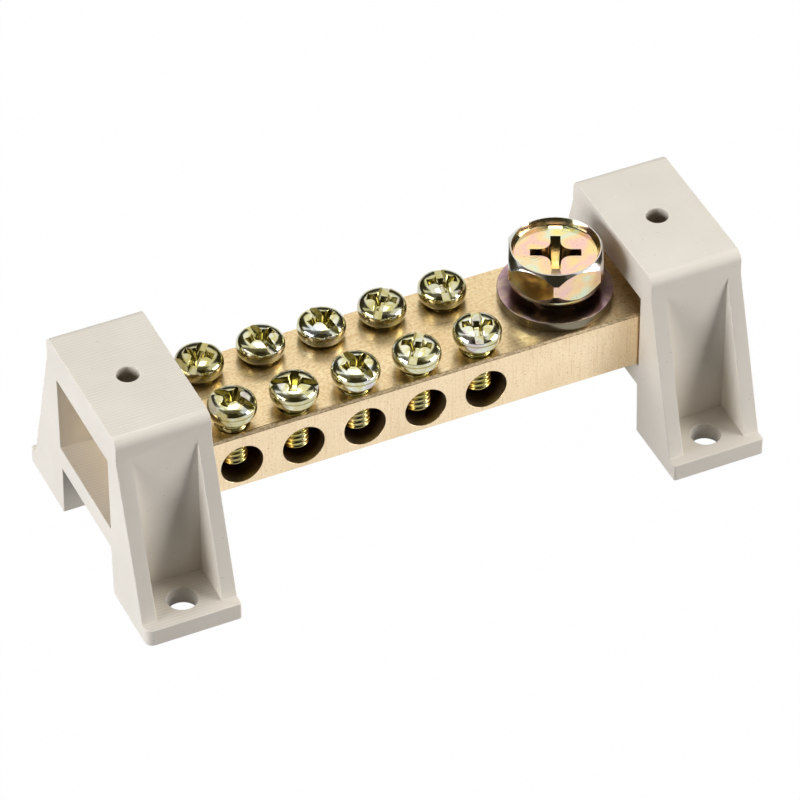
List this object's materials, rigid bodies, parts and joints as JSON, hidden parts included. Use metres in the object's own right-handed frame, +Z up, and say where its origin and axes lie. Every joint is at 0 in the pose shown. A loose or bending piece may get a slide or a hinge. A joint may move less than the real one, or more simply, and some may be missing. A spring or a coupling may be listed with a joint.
{
  "type": "earth terminal bar",
  "caption": "Drilled brass earth bar on moulded bridge supports with screw-down feet; wires enter side holes under clamp screws and a large hex bolt takes the main lug.",
  "frame": {"origin": "middle of the mounting surface, midway between the supports", "axes": "+X along the bar towards the end with the main bolt, +Y across the bar to the back, +Z up from the mounting surface"},
  "size_m": [0.0918, 0.0412, 0.0294],
  "materials": {
    "bar_brass": "milled brass, fine lines along the bar, small dark specks",
    "support_plastic": "warm light grey moulded thermoplastic, satin",
    "screw_zinc": "yellow zinc plating, glossy, greenish tint",
    "bolt_zinc": "yellow zinc plating, glossy, pink and yellow tints"
  },
  "bodies": {
    "root": {"brass_bar": "bar_brass", "support_left": "support_plastic", "support_right": "support_plastic", "terminal_screw_front_1": "screw_zinc", "terminal_screw_front_2": "screw_zinc", "terminal_screw_front_3": "screw_zinc", "terminal_screw_front_4": "screw_zinc", "terminal_screw_front_5": "screw_zinc", "terminal_screw_back_1": "screw_zinc", "terminal_screw_back_2": "screw_zinc", "terminal_screw_back_3": "screw_zinc", "terminal_screw_back_4": "screw_zinc", "terminal_screw_back_5": "screw_zinc", "main_bolt": "bolt_zinc", "plain_washer": "bolt_zinc", "bar_fixing_screw_left": "screw_zinc", "bar_fixing_screw_right": "screw_zinc"}
  },
  "joints": []
}
